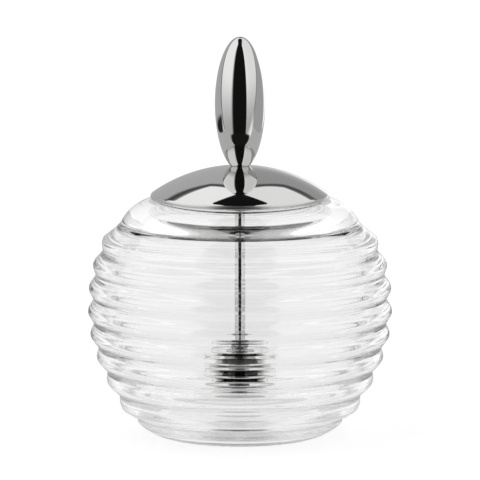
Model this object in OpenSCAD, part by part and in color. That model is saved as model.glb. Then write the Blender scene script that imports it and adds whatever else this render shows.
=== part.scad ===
// Honey pot with a lift-off lid that carries the dipper.
// The frame's origin is the centre of the foot, on the ground, with +Z up.

/* [Pot] */
// Diameter over the widest ridge
pot_d = 110; // [104:1:120]
// Height of the glass, from the ground to the lip of the mouth
pot_h = 85.3; // [80:0.1:100]
// Height at which the pot is widest
belly_h = 44.4; // [40:0.1:50]
// Diameter over the lowest ridge
low_ridge_d = 86.2; // [82:0.1:92]
// Diameter over the highest ridge
top_ridge_d = 99.2; // [95:0.1:102]
// Glass between the cavity and a ridge crest at the belly
wall = 3.5; // [2.8:0.1:5]
// Glass between the cavity and the crest of the lowest ridge
base_wall = 4; // [3:0.1:6]
// Glass between the cavity and the crest of the highest ridge
top_wall = 4.2; // [3:0.1:5]
// Glass under the flat of the cavity floor
floor_t = 8; // [5:0.1:11]
// Rounding where the cavity's side meets its floor
floor_fillet_r = 3; // [1:0.1:5]

/* [Ridges] */
// Number of ridges that ring the pot
ridge_count = 8; // [6:1:10]
// Depth of the valleys between ridges
ridge_depth = 1.8; // [1:0.1:2.2]
// Height of the lowest crest
first_crest_h = 9.7; // [8.5:0.1:11]
// Roundness of the bulge under the belly, where 2 is nearly a ball
lower_fullness = 1.88; // [1.6:0.01:2.2]
// Roundness of the bulge over the belly
upper_fullness = 2.5; // [2:0.1:3]
// Narrowness of the crests against the valleys
crest_sharpness = 1.7; // [1.5:0.1:3]
// Depth of the waves in the cavity's wall, which follow the ridges
wave_depth = 1.8; // [0:0.1:2]
// Narrowness of those waves where the cavity is widest
wave_sharpness = 2.6; // [1.5:0.1:3.5]
// How far up the waves are shifted against the ridges, as a share of a ridge
wave_shift = 0.04; // [-0.1:0.01:0.1]
// Share of the lean across the glass that the waves follow, where 1 is square in and 0 is level
wave_follow = 0.72; // [0:0.01:1]

/* [Foot] */
// Diameter of the foot ring
foot_d = 74.2; // [70:0.1:78]
// Height of the foot ring's rounded edge
foot_h = 4.2; // [3:0.1:5]
// Diameter of the circle where the rounded edge meets the ground
foot_rest_d = 67; // [60:0.1:69]
// Width of the flat that rests on the ground
foot_rest_w = 3.5; // [2:0.1:6]
// How late the foot's flank swings out to the lowest ridge, where 2 is halfway up
flank_lean = 3; // [1.6:0.1:3.2]
// Depth of the hollow under the foot
punt_h = 1.6; // [0.8:0.1:2.5]

/* [Mouth] */
// Bore of the mouth
mouth_d = 56; // [50:0.5:60]
// Width of the lip that the lid stands on
lip_w = 3; // [2.5:0.1:5]
// Height of glass round the mouth bore
neck_h = 4; // [3:0.1:5]
// Diameter of the shoulder's root, above the highest ridge
shoulder_d = 85.8; // [80:0.1:90]
// Height from the shoulder's root to the lip
shoulder_h = 9; // [8:0.1:12]
// Roundness of the shoulder, where 2 is an oval and less is flatter
shoulder_fullness = 1.7; // [1.4:0.1:2.2]
// Height from the highest crest to the shoulder's root
shoulder_gap = 5.8; // [5:0.1:8]
// Glass at the shoulder's root
shoulder_wall = 4.6; // [3:0.1:7]
// Rounding of the mouth's edges
lip_edge_r = 0.9; // [0.4:0.1:1.2]

/* [Lid] */
// How far the lid reaches out past the mouth bore
lid_overhang = 4.3; // [4.1:0.1:6]
// Height from the glass lip to the crown of the dome
lid_h = 11.9; // [9:0.1:16]
// Thickness of the dome's steel sheet
sheet_t = 0.8; // [0.6:0.1:1.2]
// Outer radius of the bend at the rim
rim_bend_r = 1.4; // [1.3:0.1:2.5]
// Straight band under the bend
rim_band_h = 0.2; // [0.1:0.1:1]
// Thickness of the collar ring's sheet
collar_t = 0.7; // [0.5:0.1:1.2]
// Depth that the collar reaches into the mouth
collar_depth = 4.5; // [3:0.1:8]

/* [Handle] */
// Height of the handle over the dome
handle_h = 46.7; // [35:0.1:60]
// Diameter at the middle of the handle
handle_d = 18.1; // [14:0.1:24]
// Diameter where the handle stands on the dome
handle_foot_d = 6.8; // [6:0.1:9]
// Depth of the threaded hole in the handle
handle_hole_depth = 12; // [8:0.5:20]

/* [Dipper] */
// Diameter of the rod
rod_d = 3.8; // [3:0.1:4.2]
// Diameter over the middle rings of the head
head_d = 26.5; // [20:0.5:34]
// Height of the ringed part of the head
head_h = 19.8; // [16:0.1:28]
// Number of rings on the head
head_rings = 4; // [3:1:8]
// Diameter at the bottom of the grooves
head_core_d = 13; // [8:0.5:14]
// Share of each step on the head that is ring and not groove
ring_share = 0.62; // [0.5:0.01:0.75]
// Roundness of the head's outline, where 2 is an oval
head_fullness = 2.6; // [1.8:0.1:4]
// Diameter of the boss round the rod, on top of the head
boss_d = 10.4; // [8:0.1:14]
// Height of that boss
boss_h = 0.7; // [0.5:0.1:2]
// Depth of the rod's socket in the head
socket_depth = 12; // [6:0.5:15]
// Height of the head over the cavity floor
head_lift = 5.2; // [2:0.1:8]

/* [Fixing] */
// Distance across the flats of the clamp nut
nut_flats = 6.6; // [6:0.1:8]
// Thickness of the clamp nut
nut_t = 2.4; // [1.8:0.1:3.5]
// Thickness of the washer
washer_t = 0.6; // [0.4:0.1:1]
// Width of the flat on the crown, past the handle's foot
crown_flat_w = 0.1; // [0.1:0.1:1.5]
// Rim of the washer past the nut's corners
washer_rim = 0.1; // [0.1:0.1:0.8]

/* [Clearances] */
// Gap all round between the collar and the mouth bore
collar_gap = 0.8; // [0.4:0.1:1.5]
// Gap between the dome's edge and the glass lip
rim_gap = 0.2; // [0.1:0.05:0.6]
// Gap all round between the rod and what it screws into
thread_gap = 0.03; // [0.02:0.01:0.1]
// Gap all round between the rod and the holes it passes through
pass_gap = 0.15; // [0.1:0.05:0.3]
// Gap between the rod's ends and the bottoms of their holes
end_gap = 0.3; // [0.1:0.1:0.8]
// Gap between the collar's flange and the dome's band
weld_gap = 0.05; // [0.02:0.01:0.2]

/* [Hidden] */
$fn = 96;
glass_color = [0.86, 0.90, 0.90, 0.45];
steel_color = [0.72, 0.73, 0.75];

// Heights and radii that the pot's outline runs through
pot_r = pot_d / 2;
foot_r = foot_d / 2;
foot_rest_r = foot_rest_d / 2;
punt_r = foot_rest_r - foot_rest_w;
mouth_r = mouth_d / 2;
shoulder_r = shoulder_d / 2;
shoulder_z = pot_h - shoulder_h;
top_crest_z = shoulder_z - shoulder_gap;
ridge_pitch = (top_crest_z - first_crest_h) / (ridge_count - 1);
neck_z = pot_h - neck_h;
floor_lean = atan(bulge_slope(floor_t / 2));

// Points per ridge outside and per wave inside, and the height over which the waves fade at the floor
steps_per_ridge = 12;
steps_per_wave = 8;
wave_fade = 4;

// Heights and radii of the lid, upwards from the glass lip
lid_r = mouth_r + lid_overhang;
rim_z = pot_h + rim_gap;
bend_z = rim_z + sheet_t / 2 + rim_band_h;
bend_x = lid_r - rim_bend_r;
crown_z = pot_h + lid_h;
crown_rise = crown_z - bend_z;
crown_r = (pow(bend_x, 2) + pow(crown_rise, 2) - pow(rim_bend_r, 2)) / (2 * (crown_rise - rim_bend_r));
crown_mid_z = crown_z - crown_r;
bend_angle = atan2(bend_z - crown_mid_z, bend_x);
crown_flat_r = handle_foot_d / 2 + crown_flat_w;
seat_z = crown_mid_z + sqrt(pow(crown_r, 2) - pow(crown_flat_r, 2));
under_seat_z = seat_z - sheet_t;

// Heights of the dipper, from the cavity floor up
head_z = floor_t + head_lift;
head_top_z = head_z + head_h + boss_h;
rod_r = rod_d / 2;
rod_low_z = head_top_z - socket_depth + end_gap;
rod_high_z = seat_z + handle_hole_depth - end_gap;
rod_chamfer = 0.4;
nut_corner_r = nut_flats / 2 / cos(30);
washer_r = nut_corner_r + washer_rim;

// Points on an oval arc about [x, z], from angle a to angle b
function arc(x, z, rx, rz, a, b, n = 12) =
    [for (i = [0 : n]) let (t = a + (b - a) * i / n) [x + rx * cos(t), z + rz * sin(t)]];

// Points on an S-curve from p to q that starts and ends upright, without its two ends
function s_curve(p, q, lean = 2, n = 12) =
    [for (i = [1 : n - 1])
        [p[0] + (q[0] - p[0]) * pow(sin(90 * i / n), lean), p[1] + (q[1] - p[1]) * i / n]];

// Points on the quarter of a rounded diamond that stands on [x, z], from its foot up to its top
function shoulder(x, z, w, h, fullness, n = 16) =
    [for (i = [0 : n]) let (t = 90 * i / n)
        [x + w * pow(cos(t), 2 / fullness), z + h * pow(sin(t), 2 / fullness)]];

// Share of the way from the belly to the last crest on the same side
function way_out(z) = z < belly_h ? (belly_h - z) / (belly_h - first_crest_h)
    : (z - belly_h) / (top_crest_z - belly_h);

// Radius and slope of the smooth bulge that the crests touch
function bulge_drop(z) = z < belly_h ? pot_r - low_ridge_d / 2 : pot_r - top_ridge_d / 2;
function bulge_power(z) = z < belly_h ? lower_fullness : upper_fullness;
function bulge_r(z) = pot_r - bulge_drop(z) * pow(way_out(z), bulge_power(z));
function bulge_slope(z) = bulge_drop(z) * bulge_power(z) * pow(way_out(z), bulge_power(z) - 1)
    / (z < belly_h ? belly_h - first_crest_h : belly_h - top_crest_z);

// How deep a train of ridges is pressed in at height z, from 0 on a crest to 1 in a valley
function pressed(z, sharpness) = 1 - pow(abs(cos(180 * (z - first_crest_h) / ridge_pitch)), sharpness);

// Radius of the ridged outside
function ridge_r(z) = bulge_r(z) - ridge_depth * pressed(z, crest_sharpness);

// A point of the cavity, square in from the bulge by the thickness of the glass there and by its wave
function cavity_point(z) = let (
    edge_wall = z < belly_h ? base_wall : top_wall,
    t = wall + (edge_wall - wall) * pow(way_out(z), 2),
    slope = bulge_slope(z),
    run = sqrt(1 + slope * slope),
    rise = t * slope / run,
    fade = min(1, max(0, (z - floor_t + wave_fade / 2) / wave_fade)),
    wave = wave_depth * fade * pressed(z + wave_follow * rise + wave_shift * ridge_pitch, wave_sharpness))
    [bulge_r(z) - t / run - wave, z + rise];

// Outside of the glass, from the ground to the lip
pot_outside = concat(
    arc(foot_rest_r, foot_h, foot_r - foot_rest_r, foot_h, -90, 0),
    s_curve([foot_r, foot_h], [ridge_r(first_crest_h), first_crest_h], flank_lean),
    [for (i = [0 : steps_per_ridge * (ridge_count - 1)])
        let (z = first_crest_h + ridge_pitch * i / steps_per_ridge) [ridge_r(z), z]],
    s_curve([ridge_r(top_crest_z), top_crest_z], [shoulder_r, shoulder_z]),
    shoulder(mouth_r + lip_w, shoulder_z, shoulder_r - mouth_r - lip_w, shoulder_h, shoulder_fullness));

// Points on the curve from p to q that leaves p towards a and reaches q from b
function bent(p, a, b, q, n = 14) = [for (i = [0 : n - 1]) let (t = i / n)
    pow(1 - t, 3) * p + 3 * t * pow(1 - t, 2) * a + 3 * pow(t, 2) * (1 - t) * b + pow(t, 3) * q];

// Inside of the glass, from the lip down to the middle of the floor
roof_start = [mouth_r + 2 * lip_edge_r, neck_z];
roof_middle = [shoulder_r - shoulder_wall * cos(45), shoulder_z - shoulder_wall * sin(45)];
wave_steps = ceil(steps_per_wave * top_crest_z / ridge_pitch);
cavity_wall = [for (i = [0 : wave_steps]) cavity_point(top_crest_z * (1 - i / wave_steps))];
cavity_side = [for (p = cavity_wall) if (p[1] > floor_t + floor_fillet_r * (1 - sin(floor_lean))) p];
floor_edge = cavity_side[len(cavity_side) - 1];
pot_inside = concat(
    arc(mouth_r + lip_edge_r, pot_h - lip_edge_r, lip_edge_r, lip_edge_r, 90, 180, 6),
    arc(mouth_r + lip_edge_r, neck_z + lip_edge_r, lip_edge_r, lip_edge_r, 180, 270, 6),
    bent(roof_start, roof_start + 0.4 * (roof_middle - roof_start),
        cavity_side[0] + [0, 1.5], cavity_side[0]),
    cavity_side,
    arc(floor_edge[0] - floor_fillet_r * cos(floor_lean), floor_t + floor_fillet_r,
        floor_fillet_r, floor_fillet_r, -floor_lean, -90, 6),
    [[0, floor_t]]);

// Hollow under the foot
punt = [for (i = [0 : 12]) let (x = punt_r * i / 12) [x, punt_h * (1 - pow(x / punt_r, 2))]];

// Ridged glass bowl with a thick floor
module pot() {
    color(glass_color)
        rotate_extrude() polygon(concat(punt, pot_outside, pot_inside));
}

// Pressed steel dome with a bent rim and a flat for the handle
module lid_dome() {
    inner_r = crown_r - sheet_t;
    under_flat_r = max(washer_r + 0.1, sqrt(pow(inner_r, 2) - pow(under_seat_z - crown_mid_z, 2)));
    color(steel_color)
        rotate_extrude() polygon(concat(
            [[rod_r + pass_gap, under_seat_z], [rod_r + pass_gap, seat_z]],
            arc(0, crown_mid_z, crown_r, crown_r, acos(crown_flat_r / crown_r), bend_angle, 24),
            arc(bend_x, bend_z, rim_bend_r, rim_bend_r, bend_angle, 0, 6),
            arc(lid_r - sheet_t / 2, rim_z + sheet_t / 2, sheet_t / 2, sheet_t / 2, 0, -180, 8),
            arc(bend_x, bend_z, rim_bend_r - sheet_t, rim_bend_r - sheet_t, 0, bend_angle, 6),
            arc(0, crown_mid_z, inner_r, inner_r, bend_angle, acos(under_flat_r / inner_r), 24),
            [[under_flat_r, under_seat_z]]));
}

// Ring under the rim that stands on the lip and centres the lid in the mouth
module lid_collar() {
    outer_r = mouth_r - collar_gap;
    flange_r = lid_r - sheet_t - weld_gap;
    edge_r = collar_t / 2;
    color(steel_color)
        rotate_extrude() polygon(concat(
            [[flange_r, pot_h], [flange_r, pot_h + collar_t - weld_gap],
                [outer_r - collar_t, pot_h + collar_t - weld_gap]],
            arc(outer_r - edge_r, pot_h - collar_depth + edge_r, edge_r, edge_r, 180, 360, 8),
            [[outer_r, pot_h]]));
}

// Solid steel grip, a long oval cut flat at its foot
module handle() {
    half_h = handle_h / (1 + sin(acos(handle_foot_d / handle_d)));
    hole_r = rod_r + thread_gap;
    color(steel_color)
        translate([0, 0, seat_z])
        rotate_extrude() polygon(concat(
            [[0, handle_hole_depth], [hole_r, handle_hole_depth], [hole_r, 0]],
            arc(0, handle_h - half_h, handle_d / 2, half_h, -acos(handle_foot_d / handle_d), 90, 48)));
}

// Washer that spreads the nut's load under the crown
module clamp_washer() {
    color(steel_color)
        translate([0, 0, under_seat_z - washer_t])
        difference() {
            cylinder(h = washer_t, r = washer_r);
            translate([0, 0, -1]) cylinder(h = washer_t + 2, r = rod_r + pass_gap);
        }
}

// Hexagon nut on the rod, which clamps the dome against the handle
module clamp_nut() {
    color(steel_color)
        translate([0, 0, under_seat_z - washer_t - nut_t])
        difference() {
            intersection() {
                cylinder(h = nut_t, r = nut_corner_r, $fn = 6);
                cylinder(h = nut_t, r1 = nut_flats / 2 + 0.1, r2 = nut_flats / 2 + 0.1 + nut_t);
            }
            translate([0, 0, -1]) cylinder(h = nut_t + 2, r = rod_r + thread_gap);
        }
}

// Straight rod from the dipper head up through the lid into the handle
module dipper_rod() {
    tip_r = rod_r - rod_chamfer;
    color(steel_color)
        rotate_extrude() polygon([
            [0, rod_low_z], [tip_r, rod_low_z], [rod_r, rod_low_z + rod_chamfer],
            [rod_r, rod_high_z - rod_chamfer], [tip_r, rod_high_z], [0, rod_high_z]]);
}

// Turned steel head whose grooves hold the honey
module dipper_head() {
    step = head_h / head_rings;
    ring_t = step * ring_share;
    color(steel_color)
        rotate_extrude() difference() {
            union() {
                translate([0, head_z + (step - ring_t) / 2])
                    square([head_core_d / 2, head_h - step + ring_t]);
                translate([0, head_top_z - boss_h - (step - ring_t) / 2])
                    square([boss_d / 2, boss_h + (step - ring_t) / 2]);
                for (i = [0 : head_rings - 1]) {
                    side = (2 * i + 1) / head_rings - 1;
                    ring_r = head_d / 2 * pow(1 - pow(abs(side), head_fullness), 1 / head_fullness);
                    translate([0, head_z + step * i + (step - ring_t) / 2])
                        square([ring_r - ring_t / 2, ring_t]);
                    translate([ring_r - ring_t / 2, head_z + step * (i + 0.5)])
                        circle(r = ring_t / 2, $fn = 32);
                }
            }
            translate([-1, head_top_z - socket_depth])
                square([1 + rod_r + thread_gap, socket_depth + 1]);
        }
}

pot();
lid_dome();
lid_collar();
handle();
clamp_washer();
clamp_nut();
dipper_rod();
dipper_head();
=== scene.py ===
import math

import bpy
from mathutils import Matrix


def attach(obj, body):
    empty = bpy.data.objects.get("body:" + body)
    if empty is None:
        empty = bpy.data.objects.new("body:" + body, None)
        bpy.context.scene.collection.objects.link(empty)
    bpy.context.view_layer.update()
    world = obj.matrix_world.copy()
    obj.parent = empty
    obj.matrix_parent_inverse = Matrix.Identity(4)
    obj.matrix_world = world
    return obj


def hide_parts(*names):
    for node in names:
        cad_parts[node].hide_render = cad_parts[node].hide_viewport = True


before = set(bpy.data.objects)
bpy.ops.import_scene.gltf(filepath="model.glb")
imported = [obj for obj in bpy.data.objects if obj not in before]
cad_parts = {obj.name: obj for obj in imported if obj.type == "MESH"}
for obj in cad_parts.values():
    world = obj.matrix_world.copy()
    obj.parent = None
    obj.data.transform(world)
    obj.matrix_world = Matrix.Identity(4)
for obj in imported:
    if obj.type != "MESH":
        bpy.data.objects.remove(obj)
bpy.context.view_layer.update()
print("frame loaded:", ", ".join(sorted(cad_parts)))

mm = 0.001
scene = bpy.context.scene
scene.view_settings.view_transform = "Standard"
scene.cycles.glossy_bounces = 12  # the ridges pass light back and forth many times
scene.cycles.transmission_bounces = 24
scene.cycles.max_bounces = 32


# Small tools that every piece uses

# An sRGB hex colour as linear numbers
def linearColour(hexColour):
    parts = [int(hexColour[i:i + 2], 16) / 255 for i in (1, 3, 5)]
    return [c / 12.92 if c <= 0.04045 else ((c + 0.055) / 1.055) ** 2.4 for c in parts] + [1.0]


def addNode(tree, kind, inputs=None, **settings):
    node = tree.nodes.new(kind)
    for name, value in settings.items():
        setattr(node, name, value)
    for key, value in (inputs or {}).items():
        if isinstance(value, bpy.types.NodeSocket):
            tree.links.new(value, node.inputs[key])
        else:
            node.inputs[key].default_value = value
    return node


def arc(x, z, rx, rz, start, end, steps):
    turns = [math.radians(start + (end - start) * i / steps) for i in range(steps + 1)]
    return [(x + rx * math.cos(t), z + rz * math.sin(t)) for t in turns]


# A path through corners (radius, height, fillet), with an arc of the fillet's radius in each corner
def filletedPath(corners, steps):
    path = []
    for i, (x, z, fillet) in enumerate(corners):
        if fillet == 0 or i in (0, len(corners) - 1):
            path.append((x, z))
            continue
        legs = []
        for j in (i - 1, i + 1):
            dx, dz = corners[j][0] - x, corners[j][1] - z
            run = math.hypot(dx, dz)
            legs.append((dx / run, dz / run))
        (ax, az), (bx, bz) = legs
        half = math.acos(max(-1, min(1, ax * bx + az * bz))) / 2
        back = fillet / math.tan(half)
        sx, sz = ax + bx, az + bz
        run = math.hypot(sx, sz)
        cx = x + sx / run * fillet / math.sin(half)
        cz = z + sz / run * fillet / math.sin(half)
        startTurn = math.atan2(z + az * back - cz, x + ax * back - cx)
        endTurn = math.atan2(z + bz * back - cz, x + bx * back - cx)
        sweep = (endTurn - startTurn + math.pi) % (2 * math.pi) - math.pi
        path += [(cx + fillet * math.cos(startTurn + sweep * k / steps),
                  cz + fillet * math.sin(startTurn + sweep * k / steps)) for k in range(steps + 1)]
    return path


# Geometry Nodes lathe: it turns a profile about Z and presses a train of ridges into it. Each point of the
# profile holds its place in the train (crest), its share of the ridge depth (share) and how narrow its
# ridge is (keen).
def makeLatheTree():
    tree = bpy.data.node_groups.new("lathe", "GeometryNodeTree")
    sockets = tree.interface
    sockets.new_socket("Profile", in_out="INPUT", socket_type="NodeSocketGeometry")
    for name, kind in (("Segments", "Int"), ("Rows", "Int"), ("RidgeDepth", "Float"),
                       ("Sharpness", "Float"), ("Finish", "Material")):
        sockets.new_socket(name, in_out="INPUT", socket_type="NodeSocket" + kind)
    sockets.new_socket("Geometry", in_out="OUTPUT", socket_type="NodeSocketGeometry")
    given = addNode(tree, "NodeGroupInput").outputs

    def calc(a, b=0.0, operation="ADD"):
        return addNode(tree, "ShaderNodeMath", {0: a, 1: b}, operation=operation).outputs[0]

    seam = calc(given["Segments"], 1)
    grid = addNode(tree, "GeometryNodeMeshGrid", {"Vertices X": seam, "Vertices Y": given["Rows"]})
    here = addNode(tree, "ShaderNodeSeparateXYZ", {0: addNode(tree, "GeometryNodeInputPosition").outputs[0]})
    turn = calc(calc(here.outputs[0], 0.5), 2 * math.pi, "MULTIPLY")
    row = calc(calc(here.outputs[1], 0.5), calc(given["Rows"], 1, "SUBTRACT"), "MULTIPLY")
    row = addNode(tree, "FunctionNodeFloatToInt", {0: row}, rounding_mode="ROUND").outputs[0]

    def sample(kind, inputs, dataType):
        value = addNode(tree, kind, inputs).outputs[0]
        return addNode(tree, "GeometryNodeSampleIndex",
                       {"Geometry": given["Profile"], "Index": row, "Value": value},
                       data_type=dataType).outputs[0]

    place = sample("GeometryNodeInputPosition", {}, "FLOAT_VECTOR")
    point = addNode(tree, "ShaderNodeSeparateXYZ", {0: place}).outputs
    crest, share, keen = [sample("GeometryNodeInputNamedAttribute", {"Name": name}, "FLOAT")
                          for name in ("crest", "share", "keen")]
    wave = calc(calc(calc(crest, math.pi, "MULTIPLY"), operation="COSINE"), operation="ABSOLUTE")
    valley = calc(1, calc(wave, calc(given["Sharpness"], keen, "MULTIPLY"), "POWER"), "SUBTRACT")
    pressed = calc(calc(valley, given["RidgeDepth"], "MULTIPLY"), share, "MULTIPLY")
    radius = calc(point[0], pressed, "SUBTRACT")
    across, along = calc(turn, operation="COSINE"), calc(turn, operation="SINE")
    target = addNode(tree, "ShaderNodeCombineXYZ", {0: calc(radius, across, "MULTIPLY"),
                                                    1: calc(radius, along, "MULTIPLY"), 2: point[2]})
    moved = addNode(tree, "GeometryNodeSetPosition",
                    {"Geometry": grid.outputs[0], "Position": target.outputs[0]})
    closed = addNode(tree, "GeometryNodeMergeByDistance", {"Geometry": moved.outputs[0], "Distance": 1e-6})
    smooth = addNode(tree, "GeometryNodeSetShadeSmooth", {"Geometry": closed.outputs[0]})
    real = addNode(tree, "GeometryNodeRealizeInstances", {0: smooth.outputs[0]})
    done = addNode(tree, "GeometryNodeSetMaterial",
                   {"Geometry": real.outputs[0], "Material": given["Finish"]})
    addNode(tree, "NodeGroupOutput", {0: done.outputs[0]})
    return tree


latheTree = makeLatheTree()


# Turns a profile of (radius, height) points in metres into a closed mesh that rides on a body
def turnPiece(name, profile, segments, finish, body, nodes, waves=None, ridges=None):
    flat = bpy.data.meshes.new(name + "Profile")
    flat.from_pydata([(x, 0, z) for x, z in profile], [(i, i + 1) for i in range(len(profile) - 1)], [])
    for i, title in enumerate(("crest", "share", "keen")):
        numbers = [w[i] for w in waves] if waves else [0.0] * len(profile)
        flat.attributes.new(title, "FLOAT", "POINT").data.foreach_set("value", numbers)
    piece = bpy.data.objects.new(name, flat)
    scene.collection.objects.link(piece)
    lathe = piece.modifiers.new("lathe", "NODES")
    lathe.node_group = latheTree
    values = {"Segments": segments, "Rows": len(profile), "RidgeDepth": 0.0, "Sharpness": 1.0,
              "Finish": finish, **(ridges or {})}
    for item in latheTree.interface.items_tree:
        if item.in_out == "INPUT" and item.name in values:
            lathe[item.identifier] = values[item.name]
    solid = bpy.data.meshes.new_from_object(piece.evaluated_get(bpy.context.evaluated_depsgraph_get()))
    piece.modifiers.remove(lathe)
    piece.data = solid
    solid.name = name
    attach(piece, body)
    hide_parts(*nodes)
    print(f"{name}: {len(solid.polygons)} faces")


# Finishes

def newMaterial(name):
    material = bpy.data.materials.new(name)
    material.use_nodes = True
    material.node_tree.nodes.clear()
    return material, material.node_tree


# Clear crystal, pressed and fire polished: a mirror gloss, with ripples so faint that only highlights
# show them. Ripple and its depth are in mm.
glassFinish = {"colour": "#ffffff", "ior": 1.52, "ripple": 100 / 9, "rippleDepth": 0.3, "rippleStrength": 0.005}


def makePressedGlass(s):
    material, tree = newMaterial("firePolishedPressedGlass")
    place = addNode(tree, "ShaderNodeTexCoord").outputs["Object"]
    ripple = addNode(tree, "ShaderNodeTexNoise",
                     {"Vector": place, "Scale": 1 / (s["ripple"] * mm), "Detail": 1.0})
    bump = addNode(tree, "ShaderNodeBump", {"Height": ripple.outputs[0], "Strength": s["rippleStrength"],
                                            "Distance": s["rippleDepth"] * mm})
    glass = addNode(tree, "ShaderNodeBsdfPrincipled",
                    {"Base Color": linearColour(s["colour"]), "Roughness": 0.0, "IOR": s["ior"],
                     "Transmission Weight": 1.0, "Normal": bump.outputs[0]})
    addNode(tree, "ShaderNodeOutputMaterial", {"Surface": glass.outputs[0]})
    return material


# Stainless steel. Haze is the width in mm of the patches where the polish is a little duller.
# Polished to a mirror: hard black and white reflections
polishedFinish = {"colour": "#dddddc", "haze": 6.25, "roughness": (0.02, 0.06)}
# The same, but brushed along the bent edge: a soft grey band under the mirror, in mm over the table
domeFinish = {**polishedFinish, "edgeHeight": 86.9, "edgeFade": 0.1, "edgeRoughness": 0.3}
# Fine turned and left so: a satin sheen
turnedFinish = {"colour": "#cfcfce", "haze": 2.5, "roughness": (0.1, 0.2)}
# Turned from the bar with polished rings: bright rings, and painted shade that darkens the steel inside the
# groove radius
headFinishWithPaintedShade = {"colour": "#e4e4e3", "paintedGrooveShade": "#3c3c3b", "groove": 7.5, "ring": 10.0, "haze": 10 / 3,
              "roughness": (0.02, 0.07)}


def makeSteel(name, s):
    material, tree = newMaterial(name)
    place = addNode(tree, "ShaderNodeTexCoord").outputs["Object"]
    haze = addNode(tree, "ShaderNodeTexNoise",
                   {"Vector": place, "Scale": 1 / (s["haze"] * mm), "Detail": 3.0})
    low, high = s["roughness"]
    rough = addNode(tree, "ShaderNodeMapRange", {0: haze.outputs[0], 3: low, 4: high}).outputs[0]
    colour = linearColour(s["colour"])
    if "edgeHeight" in s:
        height = addNode(tree, "ShaderNodeSeparateXYZ", {0: place}).outputs[2]
        start = s["edgeHeight"] * mm
        edge = addNode(tree, "ShaderNodeMapRange",
                       {0: height, 1: start, 2: start - s["edgeFade"] * mm, 3: 0.0, 4: s["edgeRoughness"]})
        rough = addNode(tree, "ShaderNodeMath", {0: rough, 1: edge.outputs[0]}, operation="ADD").outputs[0]
    # painted shade: inside the groove radius the steel's colour goes dark, standing for the shade in the
    # grooves between the rings
    if "paintedGrooveShade" in s:
        across = addNode(tree, "ShaderNodeVectorMath", {0: place, 1: (1, 1, 0)}, operation="MULTIPLY")
        radius = addNode(tree, "ShaderNodeVectorMath", {0: across.outputs[0]}, operation="LENGTH")
        out = addNode(tree, "ShaderNodeMapRange",
                      {0: radius.outputs["Value"], 1: s["groove"] * mm, 2: s["ring"] * mm},
                      interpolation_type="SMOOTHSTEP").outputs[0]
        colour = addNode(tree, "ShaderNodeMix",
                         {"Factor": out, 6: linearColour(s["paintedGrooveShade"]), 7: colour},
                         data_type="RGBA").outputs[2]
    steel = addNode(tree, "ShaderNodeBsdfPrincipled",
                    {"Base Color": colour, "Metallic": 1.0, "Roughness": rough})
    addNode(tree, "ShaderNodeOutputMaterial", {"Surface": steel.outputs[0]})
    return material


pressedGlass = makePressedGlass(glassFinish)
polishedSteel = makeSteel("mirrorPolishedStainlessSteel", polishedFinish)
domeSteel = makeSteel("mirrorPolishedSteelWithBrushedEdge", domeFinish)
turnedSteel = makeSteel("fineTurnedStainlessSteel", turnedFinish)
headSteelWithPaintedShade = makeSteel("turnedSteelWithPaintedGrooveShade", headFinishWithPaintedShade)
print("finishes ready")

# Pot

# Sizes are in mm. Fullness is the power of a curve: the larger, the fuller. The waves are those of the
# inner wall.
potSizes = {
    "radius": 55.0, "height": 85.3, "bellyHeight": 44.4, "lowRidgeRadius": 43.1, "topRidgeRadius": 49.6,
    "lowerFullness": 1.88, "upperFullness": 2.5,
    "firstCrest": 9.7, "topCrest": 70.5, "ridgeCount": 8, "ridgeDepth": 1.8, "sharpness": 1.7,
    "wall": 3.5, "baseWall": 4.0, "topWall": 4.2, "floor": 8.0, "floorFillet": 3.0,
    "waveDepth": 1.8, "waveSharpness": 2.6, "waveShift": 0.04, "waveFollow": 0.72, "waveFade": 4.0,
    "footRadius": 37.1, "footHeight": 4.2, "footRestRadius": 30.0, "footFullness": 1.25,
    "puntRadius": 26.5, "puntHeight": 1.6, "flankLean": 3.0,
    "mouthRadius": 28.0, "lipWidth": 3.0, "lipEdge": 0.9, "neckHeight": 4.0,
    "shoulderRadius": 42.9, "shoulderHeight": 9.0, "shoulderFullness": 1.7, "shoulderWall": 4.6,
    "rootSoftness": 60, "roofStart": 0.4, "roofEnd": 2.5,
    "floorSteps": 12, "edgeSteps": 16, "shoulderSteps": 32, "lipSteps": 8, "roofSteps": 28,
    "rowsPerRidge": 24, "segments": 192}


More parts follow.
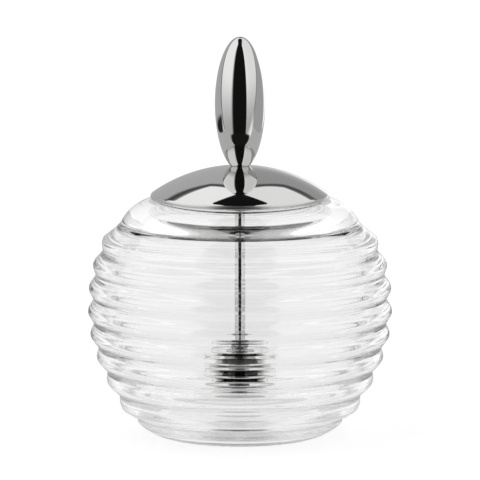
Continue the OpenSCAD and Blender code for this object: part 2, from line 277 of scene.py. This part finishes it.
def potProfile(s):
    belly, first, top = s["bellyHeight"], s["firstCrest"], s["topCrest"]

    # radius of the crests at a height, its slope, and how far that is from the belly to the last ridge
    def bulge(z):
        low = z < belly
        drop = s["radius"] - (s["lowRidgeRadius"] if low else s["topRidgeRadius"])
        power = s["lowerFullness"] if low else s["upperFullness"]
        reach = belly - first if low else belly - top
        out = (belly - z) / reach
        return s["radius"] - drop * out ** power, drop * power * out ** (power - 1) / reach, out

    # an S from start to end, without both
    def sCurve(start, end, lean, steps):
        return [(start[0] + (end[0] - start[0]) * math.sin(math.pi / 2 * i / steps) ** lean,
                 start[1] + (end[1] - start[1]) * i / steps) for i in range(1, steps)]

    # the inner wall stands off the crests at a right angle
    def cavityPoint(z):
        radius, slope, out = bulge(z)
        thick = s["wall"] + (s["baseWall" if z < belly else "topWall"] - s["wall"]) * out ** 2
        run = math.hypot(1, slope)
        return radius - thick / run, z + thick * slope / run

    pitch = (top - first) / (s["ridgeCount"] - 1)
    calm = (0.0, 0.0, 1.0)

    # the wave of the cavity's wall at a row: phase, share of the ridge depth, keenness against the ridges
    def innerWave(z):
        height = z + (cavityPoint(z)[1] - z) * s["waveFollow"]
        fade = min(1, max(0, (z - s["floor"] + s["waveFade"] / 2) / s["waveFade"]))
        return ((height - first) / pitch + s["waveShift"], fade * s["waveDepth"] / s["ridgeDepth"],
                s["waveSharpness"] / s["sharpness"])

    def valley(wave):
        return 1 - abs(math.cos(math.pi * wave[0])) ** (s["sharpness"] * wave[2])

    def wavyPoint(z):
        wave, (radius, height) = innerWave(z), cavityPoint(z)
        return radius - wave[1] * s["ridgeDepth"] * valley(wave), height

    # a Bezier curve, without its end
    def bent(p, a, b, q, steps):
        path = []
        for t in (i / steps for i in range(steps)):
            weights = ((1 - t) ** 3, 3 * t * (1 - t) ** 2, 3 * t * t * (1 - t), t ** 3)
            path.append(tuple(sum(w * c[k] for w, c in zip(weights, (p, a, b, q))) for k in (0, 1)))
        return path

    coarse, fine = s["floorSteps"], s["edgeSteps"]
    punt = [(s["puntRadius"] * i / coarse, s["puntHeight"] * (1 - (i / coarse) ** 2))
            for i in range(coarse + 1)]
    # the foot's edge slants to the ground, a little rounded
    power = 2 / s["footFullness"]
    turns = [math.pi / 2 * i / fine for i in range(fine)]
    foot = [(s["footRestRadius"] + (s["footRadius"] - s["footRestRadius"]) * math.sin(t) ** power,
             s["footHeight"] * (1 - math.cos(t) ** power)) for t in turns]
    foot.append((s["footRadius"], s["footHeight"]))
    flank = sCurve(foot[-1], (s["lowRidgeRadius"], first), s["flankLean"], fine)
    rows = s["rowsPerRidge"] * (s["ridgeCount"] - 1)
    heights = [first + (top - first) * i / rows for i in range(rows + 1)]
    ridged = [(bulge(z)[0], z) for z in heights]
    rootZ = s["height"] - s["shoulderHeight"]
    shoulderStart = (s["shoulderRadius"], rootZ)
    upper = sCurve((s["topRidgeRadius"], top), shoulderStart, 2, fine)
    lipRadius = s["mouthRadius"] + s["lipWidth"]
    power = 2 / s["shoulderFullness"]
    turns = [math.pi / 2 * i / s["shoulderSteps"] for i in range(s["shoulderSteps"] + 1)]
    shoulder = [(lipRadius + (s["shoulderRadius"] - lipRadius) * math.cos(t) ** power,
                 rootZ + s["shoulderHeight"] * math.sin(t) ** power) for t in turns]
    # the press leaves the valley under the shoulder soft
    root = upper + shoulder
    for step in range(s["rootSoftness"]):
        root = [root[0]] + [tuple((a[k] + 2 * b[k] + c[k]) / 4 for k in (0, 1))
                            for a, b, c in zip(root, root[1:], root[2:])] + [root[-1]]
    edge = s["lipEdge"]
    neck = s["height"] - s["neckHeight"]
    # inside, from the lip down: a neck, a roof under the shoulder, the wavy wall and the floor
    mouth = arc(s["mouthRadius"] + edge, s["height"] - edge, edge, edge, 90, 180, s["lipSteps"])
    under = arc(s["mouthRadius"] + edge, neck + edge, edge, edge, 180, 270, s["lipSteps"])
    lean = math.atan(bulge(s["floor"] / 2)[1])
    filletTop = s["floor"] + s["floorFillet"] * (1 - math.sin(lean))
    rowsInside = [top * (1 - i / rows) for i in range(rows + 1)]
    rowsInside = [z for z in rowsInside if cavityPoint(z)[1] > filletTop]
    side = [cavityPoint(z) for z in rowsInside]
    start = (s["mouthRadius"] + 2 * edge, neck)
    inset = s["shoulderWall"] * math.sqrt(0.5)
    inward = (s["shoulderRadius"] - inset, rootZ - inset)
    leave = [a + s["roofStart"] * (b - a) for a, b in zip(start, inward)]
    end, below = wavyPoint(rowsInside[0]), wavyPoint(rowsInside[1])
    lead = [e + s["roofEnd"] * (e - b) / math.dist(end, below) for e, b in zip(end, below)]
    roof = bent(start, leave, lead, end, s["roofSteps"])
    fillet = s["floorFillet"]
    corner = arc(side[-1][0] - fillet * math.cos(lean), s["floor"] + fillet, fillet, fillet,
                 -math.degrees(lean), -90, coarse)
    bottom = [(corner[-1][0] * (1 - i / coarse), s["floor"]) for i in range(1, coarse + 1)]
    outside = punt + foot + flank
    profile = outside + ridged + root + mouth + under + roof + side + corner + bottom
    waves = [calm] * len(outside) + [((z - first) / pitch, 1.0, 1.0) for x, z in ridged]
    waves += [calm] * len(root + mouth + under + roof)
    waves += [innerWave(z) for z in rowsInside]
    waves += [calm] * len(corner + bottom)
    return [(x * mm, z * mm) for x, z in profile], waves


potOutline, potWaves = potProfile(potSizes)
turnPiece("pressedPot", potOutline, potSizes["segments"], pressedGlass, "pot", ["pot"],
          potWaves, {"RidgeDepth": potSizes["ridgeDepth"] * mm, "Sharpness": potSizes["sharpness"]})

# Lid

lidSizes = {
    "lip": 85.3, "mouthRadius": 28.0, "overhang": 4.3, "height": 11.9, "sheet": 0.8, "bend": 1.4, "band": 0.2,
    "rimGap": 0.2, "crownFlat": 3.5, "bore": 2.05, "underFlat": 4.01,
    "collarSheet": 0.7, "collarDepth": 4.5, "collarGap": 0.8, "weldGap": 0.05,
    "collarEdge": 0.1, "collarBend": 0.2, "collarEnd": 0.24,
    "domeSteps": 60, "underBendSteps": 12, "bendSteps": 16, "collarSteps": 6, "segments": 256}


# The dome is part of a ball, with a small bend at its edge and a short upright band below that
def domeShape(s):
    radius = s["mouthRadius"] + s["overhang"]
    rimZ = s["lip"] + s["rimGap"]
    bendZ = rimZ + s["sheet"] / 2 + s["band"]
    bendX = radius - s["bend"]
    rise = s["lip"] + s["height"] - bendZ
    crown = (bendX ** 2 + rise ** 2 - s["bend"] ** 2) / (2 * (rise - s["bend"]))
    middle = s["lip"] + s["height"] - crown
    seat = middle + math.sqrt(crown ** 2 - s["crownFlat"] ** 2)
    return {"radius": radius, "bendX": bendX, "rimZ": rimZ, "bendZ": bendZ, "crown": crown, "middle": middle,
            "seat": seat, "turn": math.degrees(math.atan2(bendZ - middle, bendX))}


dome = domeShape(lidSizes)


def domeProfile(s, d):
    inner = d["crown"] - s["sheet"]
    underSeat = d["seat"] - s["sheet"]
    topTurn = math.degrees(math.acos(s["crownFlat"] / d["crown"]))
    innerTurn = math.degrees(math.acos(s["underFlat"] / inner))
    half, bend, under = s["sheet"] / 2, s["bend"], s["bend"] - s["sheet"]
    path = arc(0, d["middle"], inner, inner, innerTurn, d["turn"], s["domeSteps"])
    path += arc(d["bendX"], d["bendZ"], under, under, d["turn"], 0, s["underBendSteps"])
    path += arc(d["radius"] - half, d["rimZ"] + half, half, half, -180, 0, s["bendSteps"])
    path += arc(d["bendX"], d["bendZ"], bend, bend, 0, d["turn"], s["bendSteps"])
    path += arc(0, d["middle"], d["crown"], d["crown"], d["turn"], topTurn, s["domeSteps"])
    path += [(s["bore"], d["seat"]), (s["bore"], underSeat), (s["underFlat"], underSeat), path[0]]
    return [(x * mm, z * mm) for x, z in path]


turnPiece("domeShell", domeProfile(lidSizes, dome), lidSizes["segments"], domeSteel,
          "lid", ["lid_dome"])


# The collar's flange lies on the lip under the dome, and its skirt hangs in the mouth
def collarProfile(s, d):
    outer = s["mouthRadius"] - s["collarGap"]
    inner = outer - s["collarSheet"]
    flange = d["radius"] - s["sheet"] - s["weldGap"]
    top = s["lip"] + s["collarSheet"] - s["weldGap"]
    low = s["lip"] - s["collarDepth"]
    edge, bend, end = s["collarEdge"], s["collarBend"], s["collarEnd"]
    path = filletedPath([(flange, s["lip"] + edge, 0), (flange, top, edge), (inner, top, bend),
                         (inner, low, end), (outer, low, end), (outer, s["lip"], edge),
                         (flange, s["lip"], edge), (flange, s["lip"] + edge, 0)], s["collarSteps"])
    return [(x * mm, z * mm) for x, z in path]


turnPiece("collarRing", collarProfile(lidSizes, dome), lidSizes["segments"], turnedSteel,
          "lid", ["lid_collar"])

# Handle

handleSizes = {"height": 46.7, "radius": 9.05, "footRadius": 3.4, "hole": 1.93, "holeDepth": 12.0,
               "steps": 120, "segments": 128}


# A long oval, cut off where it is as narrow as its foot
def handleProfile(s, seat):
    footTurn = math.degrees(math.acos(s["footRadius"] / s["radius"]))
    half = s["height"] / (1 + math.sin(math.radians(footTurn)))
    path = [(0, s["holeDepth"]), (s["hole"], s["holeDepth"]), (s["hole"], 0)]
    path += arc(0, s["height"] - half, s["radius"], half, -footTurn, 90, s["steps"])
    return [(x * mm, (z + seat) * mm) for x, z in path]


turnPiece("gripHandle", handleProfile(handleSizes, dome["seat"]), handleSizes["segments"], polishedSteel,
          "lid", ["handle"])

# Dipper

dipperSizes = {
    "rod": 1.9, "rodLow": 22.0, "headLow": 13.2, "headHeight": 19.8, "rings": 4, "core": 6.5, "radius": 13.25,
    "share": 0.62, "fullness": 2.6, "boss": 3.2, "bossHeight": 0.7, "socket": 12.0, "threadGap": 0.03,
    "endGap": 0.3, "chamfer": 0.4, "edge": 0.1, "ringRound": 0.49, "grooveRound": 0.25, "bossRound": 0.3,
    "headSteps": 8, "rodSteps": 3, "segments": 128, "rodSegments": 96}


# Half-round rings, whose edges follow an oval
def headProfile(s):
    step = s["headHeight"] / s["rings"]
    thick = step * s["share"]
    gap = (step - thick) / 2
    top = s["headLow"] + s["headHeight"] + s["bossHeight"]
    corners = [(0, s["headLow"] + gap, 0)]
    for i in range(s["rings"]):
        side = abs((2 * i + 1) / s["rings"] - 1)
        reach = s["radius"] * (1 - side ** s["fullness"]) ** (1 / s["fullness"])
        low = s["headLow"] + step * i + gap
        if i > 0:
            corners.append((s["core"], low, s["grooveRound"]))
        corners += [(reach, low, thick * s["ringRound"]), (reach, low + thick, thick * s["ringRound"])]
        corners.append((s["core"] if i < s["rings"] - 1 else s["boss"], low + thick, s["grooveRound"]))
    bore = s["rod"] + s["threadGap"]
    corners += [(s["boss"], top, s["bossRound"]), (bore, top, s["edge"]),
                (bore, top - s["socket"], s["edge"]), (0, top - s["socket"], 0)]
    return [(x * mm, z * mm) for x, z in filletedPath(corners, s["headSteps"])]


turnPiece("ringedHead", headProfile(dipperSizes), dipperSizes["segments"], headSteelWithPaintedShade,
          "lid", ["dipper_head"])


def rodProfile(s, seat):
    low, top = s["rodLow"], seat + handleSizes["holeDepth"] - s["endGap"]
    radius, cut, edge = s["rod"], s["chamfer"], s["edge"]
    path = filletedPath([(0, low, 0), (radius - cut, low, edge), (radius, low + cut, edge),
                         (radius, top - cut, edge), (radius - cut, top, edge), (0, top, 0)], s["rodSteps"])
    return [(x * mm, z * mm) for x, z in path]


turnPiece("dipperRod", rodProfile(dipperSizes, dome["seat"]), dipperSizes["rodSegments"], polishedSteel,
          "lid", ["dipper_rod"])

# The washer and the nut are shown as the solids are
for name in ("clamp_washer", "clamp_nut"):
    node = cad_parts[name]
    node.data.materials.clear()
    node.data.materials.append(turnedSteel)

# Studio

# What stands round the pot: levels of light, where 1 is white, and soft edges in degrees. Turn is 0 at the
# camera and runs to the right, rise runs up from the horizon. Each side of a softbox is a line (a, b), where
# a * z + b * |x| is y.
studioSizes = {
    "roomLevels": (0.36, 0.6), "roomRise": (25, 0), "overTable": 1.05, "overTableRise": (0, -5),
    "leftBack": 0.48, "leftBackTurn": (-100, -86),
    "rightSide": 0.42, "rightSideTurn": (60, 70, 145, 135),
    "rightBack": 1.3, "rightBackTurn": (135, 148, 179, 170), "rightBackRise": (12, 3),
    "boxInner": (0.53, 1.3), "boxOuter": (0.935, 0.268),
    "boxLeft": (0.833, 0.109), "boxRight": (1.405, -0.213),
    "boxEdge": (-0.01, 0.015), "boxLevels": (0.5, 1.08), "boxRise": (-22, 16),
    "rightBoxShare": 0.88, "rightBoxTurn": (20, 60),
    "line": 0.05, "lineWidth": 0.05, "lineGrowth": 0.08, "lineSide": (0.15, 0.45), "lineSteep": (0.4, 0.6),
    "lineFade": (1.4, 0.2), "lineShares": (0.95, 0.35), "steepLineShare": 0.9,
    "band": 0.02, "bandTurn": (-150, -135, -88, -100), "bandRise": (-9, -12, -24, -21),
    "gap": 0.008, "gapTurn": (-43, -31, 32, 29), "gapTopInGlass": (35, 50),
    "peakStart": 0.53, "peakCurve": 5.8, "peakSlope": 0.1, "peakLimit": 0.25, "peakEdge": 0.004,
    "beyond": 0.01, "beyondTurn": (-58, -42, 58, 48), "beyondRise": (-24, -26),
    "inGlass": 1.05, "backdropLevels": (0.97, 0.7), "backdropRise": (8, 40), "lowBackdrop": 0.78,
    "lowBackdropRise": (-2, -20), "backdropDepth": (0.3, 0.6)}


def makeStudio(s):
    world = bpy.data.worlds.new("studio")
    scene.world = world
    world.use_nodes = True
    tree = world.node_tree
    tree.nodes.clear()
    way = addNode(tree, "ShaderNodeTexCoord").outputs["Generated"]
    x, y, z = addNode(tree, "ShaderNodeSeparateXYZ", {0: way}).outputs
    path = addNode(tree, "ShaderNodeLightPath").outputs
    leaving = path["Is Transmission Ray"]

    def calc(operation, a, b=0.0, c=0.0):
        return addNode(tree, "ShaderNodeMath", {0: a, 1: b, 2: c}, operation=operation).outputs[0]

    def soft(value, low, high, start=0.0, end=1.0):
        return addNode(tree, "ShaderNodeMapRange", {0: value, 1: low, 2: high, 3: start, 4: end},
                       interpolation_type="SMOOTHSTEP").outputs[0]

    def blend(under, over, mask):
        return addNode(tree, "ShaderNodeMix", {0: mask, 2: under, 3: over}).outputs[0]

    def both(a, b):
        return calc("MULTIPLY", a, b)

    def between(value, edges):
        return both(soft(value, *edges[:2]), soft(value, *edges[2:]))

    def boxSide(edge):
        return calc("SUBTRACT", calc("MULTIPLY_ADD", z, edge[0], calc("MULTIPLY", side, edge[1])), y)

    side = calc("ABSOLUTE", x)
    turn = calc("MULTIPLY", calc("ARCTAN2", x, calc("MULTIPLY", y, -1.0)), 180 / math.pi)
    rise = calc("MULTIPLY", calc("ARCSINE", z), 180 / math.pi)
    # the room behind the pot is grey, and brighter near the table and on the right
    level = soft(rise, *s["roomRise"], *s["roomLevels"])
    level = blend(level, s["overTable"], soft(rise, *s["overTableRise"]))
    level = blend(level, s["leftBack"], soft(turn, *s["leftBackTurn"], 1.0, 0.0))
    level = blend(level, s["rightSide"], between(turn, s["rightSideTurn"]))
    corner = both(between(turn, s["rightBackTurn"]), soft(rise, *s["rightBackRise"]))
    level = blend(level, s["rightBack"], corner)
    # two softboxes reach from the sides over the top, with a dark line along their outer edges
    ends = blend(boxSide(s["boxLeft"]), boxSide(s["boxRight"]), soft(turn, -1, 1))
    box = calc("MINIMUM", calc("MINIMUM", boxSide(s["boxInner"]), boxSide(s["boxOuter"])), ends)
    share = soft(turn, *s["rightBoxTurn"], 1.0, s["rightBoxShare"])
    panel = both(soft(rise, *s["boxRise"], *s["boxLevels"]), share)
    steep = soft(z, *s["lineSteep"])
    width = calc("MULTIPLY_ADD", both(soft(side, *s["lineSide"]), steep), s["lineGrowth"], s["lineWidth"])
    fade = [calc("MULTIPLY", width, share) for share in s["lineFade"]]
    line = soft(calc("ABSOLUTE", calc("ADD", box, width)), *fade)
    line = both(line, calc("MAXIMUM", both(steep, s["steepLineShare"]), soft(turn, 0, 1, *s["lineShares"])))
    level = blend(level, s["line"], line)
    level = blend(level, panel, soft(box, *s["boxEdge"]))
    # the table's far edge leaves a dark band at the left
    level = blend(level, s["band"], both(between(turn, s["bandTurn"]), between(rise, s["bandRise"])))
    # rays that leave the glass see a lighter room
    level = blend(level, calc("MAXIMUM", level, s["inGlass"]), leaving)
    # the camera stands in a dark gap between the softboxes, which narrows to a peak overhead
    ahead = calc("DIVIDE", y, calc("MAXIMUM", z, 0.001))
    lean = calc("SUBTRACT", s["peakStart"], ahead)
    peak = calc("MULTIPLY_ADD", both(lean, lean), s["peakCurve"], both(lean, s["peakSlope"]))
    peak = calc("SUBTRACT", calc("MULTIPLY", calc("MINIMUM", peak, s["peakLimit"]), z), side)
    overhead = both(calc("GREATER_THAN", z, 0.0), calc("LESS_THAN", ahead, s["peakStart"]))
    overhead = both(soft(peak, -s["peakEdge"], s["peakEdge"]), overhead)
    high = both(soft(rise, *s["gapTopInGlass"]), leaving)
    front = both(between(turn, s["gapTurn"]), calc("SUBTRACT", 1.0, high))
    level = blend(level, s["gap"], calc("MAXIMUM", front, overhead))
    # beyond the table's front edge it is dark
    beyond = both(between(turn, s["beyondTurn"]), soft(rise, *s["beyondRise"]))
    level = blend(level, s["beyond"], both(beyond, calc("SUBTRACT", 1.0, leaving)))
    # straight through the glass the backdrop shows, and the camera sees it pure white
    straight = both(leaving, calc("LESS_THAN", path["Glossy Depth"], 0.5))  # no mirror bounce yet
    backdrop = soft(rise, *s["backdropRise"], *s["backdropLevels"])
    backdrop = blend(backdrop, s["lowBackdrop"], soft(rise, *s["lowBackdropRise"]))
    backdrop = blend(level, backdrop, soft(y, *s["backdropDepth"]))
    shown = blend(blend(level, backdrop, straight), 1.0, path["Is Camera Ray"])
    light = addNode(tree, "ShaderNodeBackground", {"Color": (1, 1, 1, 1), "Strength": shown})
    addNode(tree, "ShaderNodeOutputWorld", {0: light.outputs[0]})


makeStudio(studioSizes)
print("studio ready")

# Table

# Matt white paper, which shows no highlight: sizes in metres, with its own glow for each kind of ray. Only
# rays that leave the glass after a mirror bounce see the dark wedge, a painted dark reflection that widens
# towards the camera.
tableSizes = {"side": 0.33, "front": -0.13, "back": 2.0, "paper": 0.3,
              "seenGlow": 0.86, "throughGlassGlow": 0.68, "bouncedGlow": 0.5, "mirroredGlow": 0.33,
              "wedge": 0.6, "wedgeStart": 0.045, "paintedReflectionGlow": 0.02}


def makeTable(s):
    mesh = bpy.data.meshes.new("table")
    mesh.from_pydata([(-s["side"], s["front"], 0), (s["side"], s["front"], 0), (s["side"], s["back"], 0),
                      (-s["side"], s["back"], 0)], [], [(0, 1, 2, 3)])
    table = bpy.data.objects.new("table", mesh)
    scene.collection.objects.link(table)
    material, tree = newMaterial("whitePaper")

    def calc(operation, a, b=0.0, c=0.0):
        return addNode(tree, "ShaderNodeMath", {0: a, 1: b, 2: c}, operation=operation).outputs[0]

    path = addNode(tree, "ShaderNodeLightPath").outputs
    leaving = path["Is Transmission Ray"]
    straight = calc("MULTIPLY", leaving, calc("LESS_THAN", path["Glossy Depth"], 0.5))
    glow = s["mirroredGlow"]
    for mask, level in ((leaving, s["bouncedGlow"]), (straight, s["throughGlassGlow"]),
                        (path["Is Camera Ray"], s["seenGlow"])):
        glow = addNode(tree, "ShaderNodeMix", {0: mask, 2: glow, 3: level}).outputs[0]
    paper = addNode(tree, "ShaderNodeBsdfDiffuse", {"Color": (s["paper"], s["paper"], s["paper"], 1)})
    lift = addNode(tree, "ShaderNodeEmission", {"Strength": glow})
    lit = addNode(tree, "ShaderNodeAddShader", {0: paper.outputs[0], 1: lift.outputs[0]})
    spot = addNode(tree, "ShaderNodeTexCoord").outputs["Object"]
    place = addNode(tree, "ShaderNodeSeparateXYZ", {0: spot}).outputs
    # painted reflection: a dark wedge on the table, seen only by rays leaving the glass after a mirror bounce,
    # stands for the dark gap where the camera stands
    ahead = calc("ADD", place[1], s["wedgeStart"])
    wedge = calc("MULTIPLY_ADD", ahead, s["wedge"], calc("ABSOLUTE", place[0]))
    dark = calc("MULTIPLY", calc("SUBTRACT", leaving, straight), calc("LESS_THAN", wedge, 0.0))
    paintedDarkReflection = addNode(tree, "ShaderNodeEmission", {"Strength": s["paintedReflectionGlow"]})
    shown = addNode(tree, "ShaderNodeMixShader", {0: dark, 1: lit.outputs[0], 2: paintedDarkReflection.outputs[0]})
    addNode(tree, "ShaderNodeOutputMaterial", {0: shown.outputs[0]})
    mesh.materials.append(material)


makeTable(tableSizes)
print("table ready")

# Camera

# Fitted to the ellipses of the foot, the ridges and the rim: lengths in metres, sensor in mm
cameraSizes = {"distance": 1.4403, "height": 0.2812, "aim": 0.07008, "focalPixels": 4030.5, "pixels": 480,
               "sensor": 36, "near": 0.1, "far": 20}
lens = bpy.data.cameras.new("camera")
lens.sensor_width = cameraSizes["sensor"]
lens.lens = cameraSizes["focalPixels"] / cameraSizes["pixels"] * lens.sensor_width
lens.clip_start = cameraSizes["near"]
lens.clip_end = cameraSizes["far"]
camera = bpy.data.objects.new("camera", lens)
scene.collection.objects.link(camera)
camera.location = (0, -cameraSizes["distance"], cameraSizes["height"])
pitch = math.atan2(cameraSizes["height"] - cameraSizes["aim"], cameraSizes["distance"])
camera.rotation_euler = (math.pi / 2 - pitch, 0, 0)
scene.camera = camera
print("camera ready")
